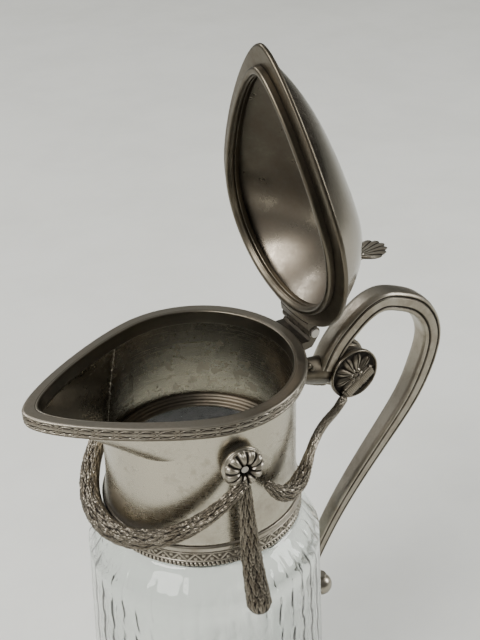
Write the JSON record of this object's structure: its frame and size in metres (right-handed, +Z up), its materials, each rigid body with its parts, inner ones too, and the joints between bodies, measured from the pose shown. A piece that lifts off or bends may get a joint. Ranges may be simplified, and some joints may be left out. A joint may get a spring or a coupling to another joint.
{
  "type": "claret jug",
  "caption": "Glass claret jug or water pitcher with silver collar, beak spout, hinged domed lid, scroll handle and leaf garlands.",
  "frame": {"origin": "centre of the glass foot's flat underside, on the axis of the round body", "axes": "+Z up along the body's axis, +X towards the handle, so the spout points to -X"},
  "size_m": [0.1945, 0.1236, 0.3552],
  "materials": {
    "silver": "antique silver plate, satin with dark recesses",
    "glass": "clear, optic ribbed",
    "plaster": "dark aged bedding plaster",
    "pin_steel": "dull nickel"
  },
  "bodies": {
    "jug": {"glass_body": "glass", "rim_band": "silver", "spout_beak": "silver", "collar_sleeve": "silver", "plaster_seat": "plaster", "mouth_ring": "silver", "collar_border": "silver", "rope_bead": "silver", "hinge_seat_leaf": "silver", "hinge_pin": "pin_steel", "tail_ball": "silver", "handle_strap": "silver", "volute_drum": "silver", "handle_foot": "silver", "medallion_left": "silver", "medallion_right": "silver", "rosette_left": "silver", "rosette_right": "silver", "rosette_rivet_left": "pin_steel", "rosette_rivet_right": "pin_steel", "pendant_left": "silver", "pendant_right": "silver", "swag_front": "silver", "swag_rear_left": "silver", "swag_rear_right": "silver"},
    "lid": {"lid_flange": "silver", "lid_bezel": "silver", "lid_dome": "silver", "hinge_lid_leaf": "silver", "thumb_piece": "silver"}
  },
  "joints": [
    {"name": "lid_hinge", "type": "hinge", "parent": "jug", "child": "lid", "pos_m": [0.0491, 0, 0.234], "axis": [0, 1, 0], "range_deg": [-81.9, 0]}
  ]
}
